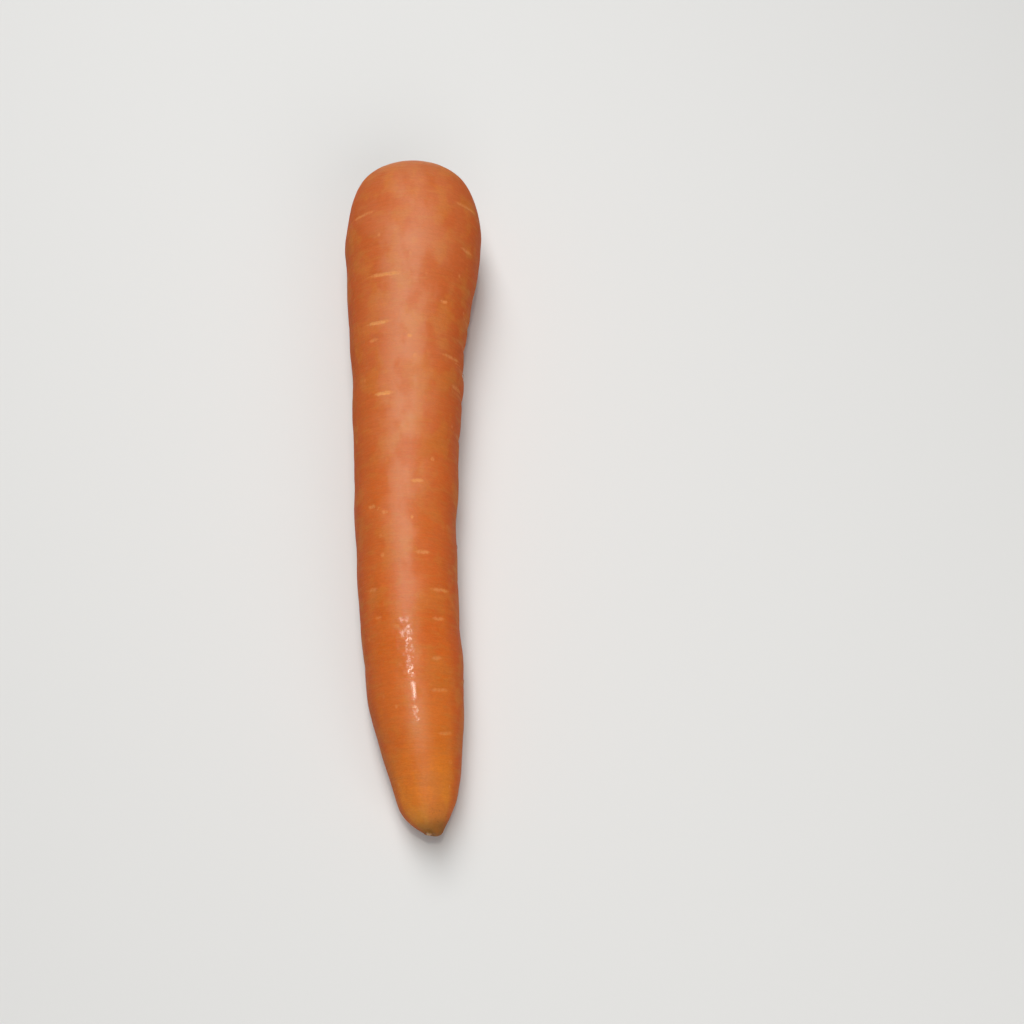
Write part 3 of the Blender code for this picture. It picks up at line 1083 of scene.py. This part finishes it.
def crown_colour(tree, colour):
    """The colour, with the crown and its leaf bases laid over it."""
    crown, leaf_top = stored(tree, "crown"), stored(tree, "leaf_top")
    drier = patched(tree, *DRY_FLECKS)
    ground = blend(tree, patched(tree, *CROWN_GREENS), CROWN_BROWN, CROWN_GREEN)
    colour = tinted(tree, colour, crown, CROWN_SHARE, ground)

    top = tinted(tree, LEAF_TAN, patched(tree, *LEAF_GREENS), LEAF_GREEN_SHARE, LEAF_GREEN)
    string = ramp(tree, stored(tree, "strings"), *STRING_EDGE)
    top = tinted(tree, top, string, STRING_SHARE, LEAF_STRING)
    top = tinted(tree, top, drier, FLECK_SHARE, LEAF_DRY)
    side = blend(tree, drier, LEAF_SIDE, LEAF_DRY)
    leaf = blend(tree, ramp(tree, leaf_top, *LEAF_TOP_EDGE), side, top)

    # The grooves between the leaf bases are darkened towards the dark brown tint.
    groove = ramp(tree, stored(tree, "leaf_base"), *GROOVE_EDGE)
    groove = maths(tree, "MULTIPLY", crown, groove)
    groove = maths(tree, "MULTIPLY", groove, scaled(tree, drier, *GROOVE_DARKENING))
    colour = blend(tree, groove, colour, SOIL)
    return blend(tree, ramp(tree, leaf_top, *LEAF_EDGE), colour, leaf)


print("tops of leaf bases cover", int((leaf_top > LEAF_TOP_EDGE[1]).sum()), "points of the net")

# %% [markdown]
# ## The brown end and the soil
#
# The stub of the tip is darker brown, partly its own colour and partly painted shade, with
# the pale cork of the end root's scar in it.
# Washing leaves specks of soil in the crown and at the end. Both are laid over all the
# orange, because a patch of orange that came after them would shine through.

# %% The brown end and the soil
END_CORK = (0.500, 0.310, 0.170, 1)
# The end is darkened towards the next tint: partly its own brown, partly painted shade.
END_BROWN_AND_SHADE = (0.185, 0.076, 0.011, 1)
END_MOTTLE = (420, 1, 5.5, 0.25, 0.70)
END_MOTTLING = (0.35, 0.60)     # how much the mottle counts, and what is there without it
SOIL_SCALE = 1100
SOIL_AMOUNT = 0.9
SOIL_SHARE = 0.5
SOIL_ANYWHERE = 0.04
SOILED_END = (0.955, 0.995)     # along the root


def end_colour(tree, colour):
    # The end is darkened: partly its own brown, partly painted shade.
    brown = scaled(tree, patched(tree, *END_MOTTLE), *END_MOTTLING)
    brown = maths(tree, "MULTIPLY", stored(tree, "end_shade"), brown)
    colour = blend(tree, brown, colour, END_BROWN_AND_SHADE)
    return blend(tree, stored(tree, "end_scar"), colour, END_CORK)


def soiled(tree, colour):
    near_end = ramp(tree, stored(tree, "along"), *SOILED_END)
    holds = maths(tree, "MAXIMUM", stored(tree, "crown"), near_end)
    holds = maths(tree, "ADD", SOIL_ANYWHERE, holds)
    specks = use_group(tree, soil, Scale=SOIL_SCALE, Amount=SOIL_AMOUNT)
    return tinted(tree, colour, maths(tree, "MULTIPLY", specks, holds), SOIL_SHARE, SOIL)


print("the end is brown from", round(1000 * END_SHADE[0], 1), "mm on")

# %% [markdown]
# ## Gloss, grain and water
#
# The skin shines softly on its top side, and is duller on the flanks, in the crown and on
# cork. Its lines and grain are under a tenth of a millimetre high, too fine for the net, so
# they are bump. The film of water is the shader's clear coat: whole where it is calm, and
# in droplets where it ripples or dries.

# %% Gloss, grain and water
UPPER_HALF = (0.66, 0.30)       # along the root
FLANK_DULL = (0.75, 0.15)       # in the stored upper side
LEAST_ROUGHNESS = 0.31
GRAIN_DEPTH = 0.00009
DROPLETS = (1200, 0.8, 7.7, 0.45, 0.57)
DROPLET_SHINE = 0.85
CALM_SHINE = 0.60


def added_up(tree, rows, start=0.0):
    """Masks added up, each as (mask, share)."""
    for mask, share in rows:
        start = scaled(tree, mask, share, start)
    return start


def skin_roughness(tree, marks, cork):
    upper_half = ramp(tree, stored(tree, "along"), *UPPER_HALF)
    flank = ramp(tree, stored(tree, "upper_side"), *FLANK_DULL)
    dull = maths(tree, "MAXIMUM", cork, stored(tree, "crown"))
    rows = ((upper_half, 0.10), (flank, 0.26), (marks["bloom"], 0.10), (dull, 0.35))
    return added_up(tree, rows, LEAST_ROUGHNESS)


def skin_normal(tree, marks, cork, slit):
    lines = ((marks["fine lines"], 0.28), (marks["grain"], 0.35), (marks["cross lines"], -0.25))
    height = added_up(tree, (*lines, (cork, 0.5), (slit, -0.5)))
    inputs = {"Height": height, "Strength": 1.0, "Distance": GRAIN_DEPTH}
    return add_node(tree, "ShaderNodeBump", inputs).outputs["Normal"]


def water_film(tree):
    wet = maths(tree, "MULTIPLY", stored(tree, "rippled_film"), patched(tree, *DROPLETS))
    calm_film = scaled(tree, stored(tree, "calm_film"), CALM_SHINE)
    return maths(tree, "MAXIMUM", scaled(tree, wet, DROPLET_SHINE), calm_film)


print("the grain is", round(1000 * GRAIN_DEPTH, 2), "mm deep")

# %% [markdown]
# ## The skin's finish
#
# Carrot skin glows because light goes a few millimetres into it and comes back redder. The
# Principled shader's subsurface does that. The colour, the gloss, the grain and the water
# of the steps above feed the same shader, and the skin then takes the solid's place.

# %% The finish of the skin
# What is the same all over the skin is set on the shader itself.
SKIN_SETTINGS = {
    "Coat Roughness": 0.19,
    "Coat IOR": 1.45,
    "IOR": 1.23,
    "Subsurface Weight": 0.45,
    "Subsurface Radius": (1.0, 0.30, 0.10),
    "Subsurface Scale": 0.0018,
}


def new_finish(name):
    """A material, its node tree and its Principled shader."""
    material = bpy.data.materials.new(name)
    material.use_nodes = True
    return material, material.node_tree, material.node_tree.nodes["Principled BSDF"]


def skin_finish():
    material, tree, surface = new_finish("carrot_skin")
    marks = {mark: patched(tree, *values) for mark, values in MARKS.items()}
    cork, slit = scar_masks(tree)
    colour = body_colour(tree, marks, cork, slit)
    colour = soiled(tree, end_colour(tree, crown_colour(tree, colour)))
    tree.links.new(colour, surface.inputs["Base Color"])
    tree.links.new(skin_roughness(tree, marks, cork), surface.inputs["Roughness"])
    tree.links.new(skin_normal(tree, marks, cork, slit), surface.inputs["Normal"])
    tree.links.new(water_film(tree), surface.inputs["Coat Weight"])
    for setting, value in SKIN_SETTINGS.items():
        surface.inputs[setting].default_value = value
    return material


skin_mesh.materials.append(skin_finish())
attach(skin, "root")
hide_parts("carrot")
print("the skin's finish has", len(skin_mesh.materials[0].node_tree.nodes), "nodes")

# %% [markdown]
# ## Torn fibres in the crown
#
# When leaves are cut or pulled off, the strings in their stalks tear and dry. They are
# thin, curved and few, so each one is a tapered tube of four sides, rooted a little below
# the top of its leaf base. They are joined in one mesh, because they are one kind of thing.

# %% A tapered tube along a path
TUBE_SIDES = 4


def tapered_tube(path, thickness, taper, sides=TUBE_SIDES):
    """Corner points and faces of a closed tube along a path. Its end is thinner by the taper."""
    path = [Vector(point) for point in path]
    radii = [thickness * (1 - taper * i / (len(path) - 1)) for i in range(len(path))]
    corners, faces = [], []
    for i, point in enumerate(path):
        way = (path[min(i + 1, len(path) - 1)] - path[max(i - 1, 0)]).normalized()
        aside = way.orthogonal().normalized()
        other = way.cross(aside)
        for k in range(sides):
            angle = 2 * math.pi * k / sides
            corners.append(point + radii[i] * (math.cos(angle) * aside + math.sin(angle) * other))
    for i in range(len(path) - 1):
        for k in range(sides):
            a, b = i * sides + k, i * sides + (k + 1) % sides
            faces.append((a, b, b + sides, a + sides))
    faces.append(tuple(reversed(range(sides))))
    faces.append(tuple(range((len(path) - 1) * sides, len(path) * sides)))
    return corners, faces


def joined_tubes(name, tubes):
    """One piece from many tubes."""
    corners, faces = [], []
    for tube_corners, tube_faces in tubes:
        faces += [tuple(index + len(corners) for index in face) for face in tube_faces]
        corners += tube_corners
    mesh = bpy.data.meshes.new(name)
    mesh.from_pydata([tuple(corner) for corner in corners], [], faces)
    mesh.shade_smooth()
    piece = bpy.data.objects.new(name, mesh)
    bpy.context.scene.collection.objects.link(piece)
    return piece


print("a tube has", TUBE_SIDES, "sides")

# %% Fibres on the cut leaf bases
FIBRES = 240
FIBRE_SEED = 31
FIBRE_LENGTHS = (0.0004, 0.0011)
FIBRE_RADII = (0.00007, 0.00016)
FIBRE_TAPER = 0.75
FIBRE_ROOT = 0.8          # the share of a leaf base's height from which a fibre is rooted
FIBRE_SINK = 0.0003       # and how deep under that, in metres
FIBRE_RINGS = 5
FIBRE_SPREAD = (-0.8, 0.8)      # along its leaf base, in half spans
FIBRE_ASIDE = (-0.6, 0.6)       # across it, in half thicknesses
FIBRE_BENDS = (-0.25, 0.45)     # in its lengths
FIBRE_TWIST = 0.12
INNERMOST = 2                   # that many leaf bases in the middle have no fibres


def crown_fibres():
    draw = random.Random(FIBRE_SEED)
    bases = leaf_bases()
    dimple = outline[: CURVE_STEPS * 3]
    tubes = []
    for _ in range(FIBRES):
        reach, middle, stub = draw.choice(bases[INNERMOST:])
        turn = math.radians(middle + draw.uniform(*FIBRE_SPREAD) * LEAF_BASE_HALF_SPAN)
        away = reach + draw.uniform(*FIBRE_ASIDE) * LEAF_BASE_HALF_THICKNESS
        foot_station = float(np.interp(away, dimple[:, 1], dimple[:, 0]))
        length = draw.uniform(*FIBRE_LENGTHS)
        bend = draw.uniform(*FIBRE_BENDS) * length
        thickness = draw.uniform(*FIBRE_RADII)
        path = []
        for i in range(FIBRE_RINGS):
            t = i / (FIBRE_RINGS - 1)
            height = stub * FIBRE_ROOT - FIBRE_SINK + length * t
            spread = away + bend * t * t
            turned = turn + FIBRE_TWIST * t * math.sin(7 * middle)
            across, up = spread * math.sin(turned), spread * math.cos(turned)
            path.append(laid_down(foot_station - height, across, up))
        tubes.append(tapered_tube(path, thickness, FIBRE_TAPER))
    return joined_tubes("crown_fibres", tubes)


fibres_piece = crown_fibres()
print(FIBRES, "fibres, with", len(fibres_piece.data.polygons), "faces")

# %% [markdown]
# ## Rootlets
#
# Washing rubs most hair roots off. A few short ones stay on the flank and the underside,
# stuck to the skin where they left their lenticel. Blender's hair could grow them, but it
# would stand up from the skin. These follow the skin closely, so their paths are worked
# out on the root and then laid down with it.

# %% Rootlets on the hidden side
ROOTLETS = 26
ROOTLET_SEED = 52
ROOTLETS_FROM = 0.05            # the station past which scars have them
ROOTLET_LENGTHS = (0.0018, 0.0050)
ROOTLET_RADIUS = 0.00009
ROOTLET_TAPER = 0.7
ROOTLET_RINGS = 8
ROOTLET_TURNS = (-4, 4)         # degrees from the middle of the scar
ROOTLET_SLANTS = (-0.6, 0.6)
ROOTLET_ARCH = 0.00035          # how high it stands off the skin on its way
ROOTLET_ARCH_END = 1.4          # it is down again at one part in this of its length
ROOTLET_SINK = 0.0002


def skin_point(place, turned, lift):
    """A point at that height over the turned skin."""
    distance = radius_at(place) * section_scale(place, turned) + lift
    return laid_down(np.array(place), distance * math.sin(turned), distance * math.cos(turned))


def rootlets():
    draw = random.Random(ROOTLET_SEED)
    hidden = [scar for scar in underside_scars() if scar[0] > ROOTLETS_FROM]
    tubes = []
    for scar in draw.sample(hidden, ROOTLETS):
        length = draw.uniform(*ROOTLET_LENGTHS)
        start = math.radians(scar[1] + draw.uniform(*ROOTLET_TURNS))
        slant = draw.uniform(*ROOTLET_SLANTS)
        path = []
        for i in range(ROOTLET_RINGS):
            t = i / (ROOTLET_RINGS - 1)
            turned = start + slant * t * t * length / radius_at(scar[0])
            arch = ROOTLET_ARCH * math.sin(math.pi * min(1, ROOTLET_ARCH_END * t))
            point = skin_point(scar[0] + length * t, turned, arch - ROOTLET_SINK)
            path.append((point[0], point[1], max(point[2], ROOTLET_RADIUS)))
        tubes.append(tapered_tube(path, ROOTLET_RADIUS, ROOTLET_TAPER))
    return joined_tubes("rootlets", tubes)


rootlets_piece = rootlets()
print(ROOTLETS, "rootlets, with", len(rootlets_piece.data.polygons), "faces")

# %% [markdown]
# ## The finish of fibres and rootlets
#
# Both are dry strings of the same tissue: tan, darker where soil clings, and dull. So one
# recipe makes both finishes, from the two groups, with other values for each.

# %% Dry strings
FIBRE_SHADES = ((0.380, 0.280, 0.120, 1), (0.170, 0.100, 0.040, 1))
ROOTLET_SHADES = ((0.520, 0.300, 0.130, 1), (0.260, 0.120, 0.045, 1))
STRING_MOTTLE = (900, 0.4, 1.1, 0.35, 0.65)
STRING_SOIL_SCALE = 2500
STRING_ROUGHNESS = (0.2, 0.65)
# Each as (piece, its two shades, how much soil clings to it).
DRY_PIECES = ((fibres_piece, FIBRE_SHADES, 0.8), (rootlets_piece, ROOTLET_SHADES, 0.5))


def dry_string(name, shades, soil_amount):
    material, tree, surface = new_finish(name)
    mottle = patched(tree, *STRING_MOTTLE)
    specks = use_group(tree, soil, Scale=STRING_SOIL_SCALE, Amount=soil_amount)
    colour = blend(tree, specks, blend(tree, mottle, *shades), SOIL)
    tree.links.new(colour, surface.inputs["Base Color"])
    tree.links.new(scaled(tree, mottle, *STRING_ROUGHNESS), surface.inputs["Roughness"])
    return material


for piece, shades, soil_amount in DRY_PIECES:
    piece.data.materials.append(dry_string(piece.name, shades, soil_amount))
    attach(piece, "root")
print("finished:", fibres_piece.name, "and", rootlets_piece.name)

# %% [markdown]
# ## The camera
#
# The photographer stood over the table and looked down at about 70 degrees, with the tip
# towards them. A lens of 55 mm, less than half a metre away, gives the same taper from the
# near tip to the far shoulder. Depth of field stays off, so that every part is sharp.

# %% The camera looks down on the root
CAMERA_LENS = 55
CAMERA_NEAREST = 0.01
CAMERA_ELEVATION = 70
CAMERA_DISTANCE = 0.459
CAMERA_TARGET = Vector((0.0303, -0.0068, 0.0126))

camera = bpy.data.objects.new("camera", bpy.data.cameras.new("camera"))
camera.data.lens = CAMERA_LENS
camera.data.clip_start = CAMERA_NEAREST
elevation = math.radians(CAMERA_ELEVATION)
backwards = Vector((0, -math.cos(elevation), math.sin(elevation)))
camera.location = CAMERA_TARGET + CAMERA_DISTANCE * backwards
camera.rotation_euler = (math.radians(90 - CAMERA_ELEVATION), 0, 0)
bpy.context.scene.collection.objects.link(camera)
bpy.context.scene.camera = camera
print("the camera stands at", [round(x, 3) for x in camera.location])

# %% [markdown]
# ## The light
#
# The carrot lies under a wide soft light from above, a little to the left, which lays a
# broad soft band along it. A weaker one fills it from the right and the front. A small and
# slightly warm lamp makes the glint in the water. Its place isn't guessed: light leaves a
# wet skin as from a mirror, so the line from the eye to the glint, mirrored in the skin,
# points at the lamp.

# %% The lamp of the glint
GLINT_STATION = 0.1626
GLINT_TURN = math.radians(0.5)
GLINT_LAMP_DISTANCE = 0.9
GLINT_LAMP_SIZE = (0.022, 0.022)
GLINT_LAMP_POWER = 0.85
GLINT_LAMP_COLOUR = (1.0, 0.94, 0.84)
SMALL_STEP = 0.002


def soft_lamp(name, location, target, size, power):
    lamp = bpy.data.objects.new(name, bpy.data.lights.new(name, "AREA"))
    lamp.data.shape = "RECTANGLE"
    lamp.data.size, lamp.data.size_y = size
    lamp.data.energy = power
    lamp.location = location
    lamp.rotation_euler = (Vector(target) - Vector(location)).to_track_quat("-Z", "Y").to_euler()
    bpy.context.scene.collection.objects.link(lamp)
    return lamp


def mirrored_way(glint):
    """The way from the glint to the lamp, for an eye at the camera."""
    towards_tip = Vector(skin_point(GLINT_STATION + SMALL_STEP, GLINT_TURN, 0)) - glint
    sideways = Vector(skin_point(GLINT_STATION, GLINT_TURN + SMALL_STEP, 0)) - glint
    normal = towards_tip.cross(sideways).normalized()
    if normal.z < 0:
        normal = -normal
    to_eye = (camera.location - glint).normalized()
    return 2 * normal.dot(to_eye) * normal - to_eye


glint = Vector(skin_point(GLINT_STATION, GLINT_TURN, 0))
lamp_place = glint + GLINT_LAMP_DISTANCE * mirrored_way(glint)
glint_lamp = soft_lamp("glint_lamp", lamp_place, glint, GLINT_LAMP_SIZE, GLINT_LAMP_POWER)
glint_lamp.data.color = GLINT_LAMP_COLOUR
print("the lamp of the glint stands at", [round(x, 2) for x in glint_lamp.location])

# %% The two soft lights
LIT_MIDDLE = (0, 0, 0.02)
# Each as (name, place, size, power in watts).
SOFT_LIGHTS = (
    ("overhead_light", (-0.08, 0.30, 0.90), (0.34, 1.10), 8.6),
    ("fill_light", (0.28, -0.66, 0.60), (0.9, 0.6), 2.9),
)

for light, place, size, power in SOFT_LIGHTS:
    soft_lamp(light, place, LIT_MIDDLE, size, power)
print(len(SOFT_LIGHTS), "soft lights")

# %% [markdown]
# ## The table and the sky
#
# The table is one plain pale square, so large that its edge is out of sight. A weak even
# sky keeps the shadows from going black. The Standard view shows the colours as they are,
# without the softer look of film.

# %% The table and the sky
FLOOR_HALF = 3
FLOOR_CORNERS = ((-1, -1), (1, -1), (1, 1), (-1, 1))
FLOOR_COLOUR = (0.70, 0.70, 0.69, 1)
FLOOR_ROUGHNESS = 0.7
SKY_COLOUR = (1, 1, 1, 1)
SKY_STRENGTH = 0.09

floor_mesh = bpy.data.meshes.new("floor")
floor_corners = [(FLOOR_HALF * x, FLOOR_HALF * y, 0) for x, y in FLOOR_CORNERS]
floor_mesh.from_pydata(floor_corners, [], [(0, 1, 2, 3)])
floor = bpy.data.objects.new("floor", floor_mesh)
bpy.context.scene.collection.objects.link(floor)
pale, _, pale_surface = new_finish("pale_floor")
pale_surface.inputs["Base Color"].default_value = FLOOR_COLOUR
pale_surface.inputs["Roughness"].default_value = FLOOR_ROUGHNESS
floor_mesh.materials.append(pale)

world = bpy.data.worlds.new("sky")
world.use_nodes = True
world.node_tree.nodes["Background"].inputs["Color"].default_value = SKY_COLOUR
world.node_tree.nodes["Background"].inputs["Strength"].default_value = SKY_STRENGTH
bpy.context.scene.world = world
bpy.context.scene.view_settings.view_transform = "Standard"
print("the table is", 2 * FLOOR_HALF, "m wide")
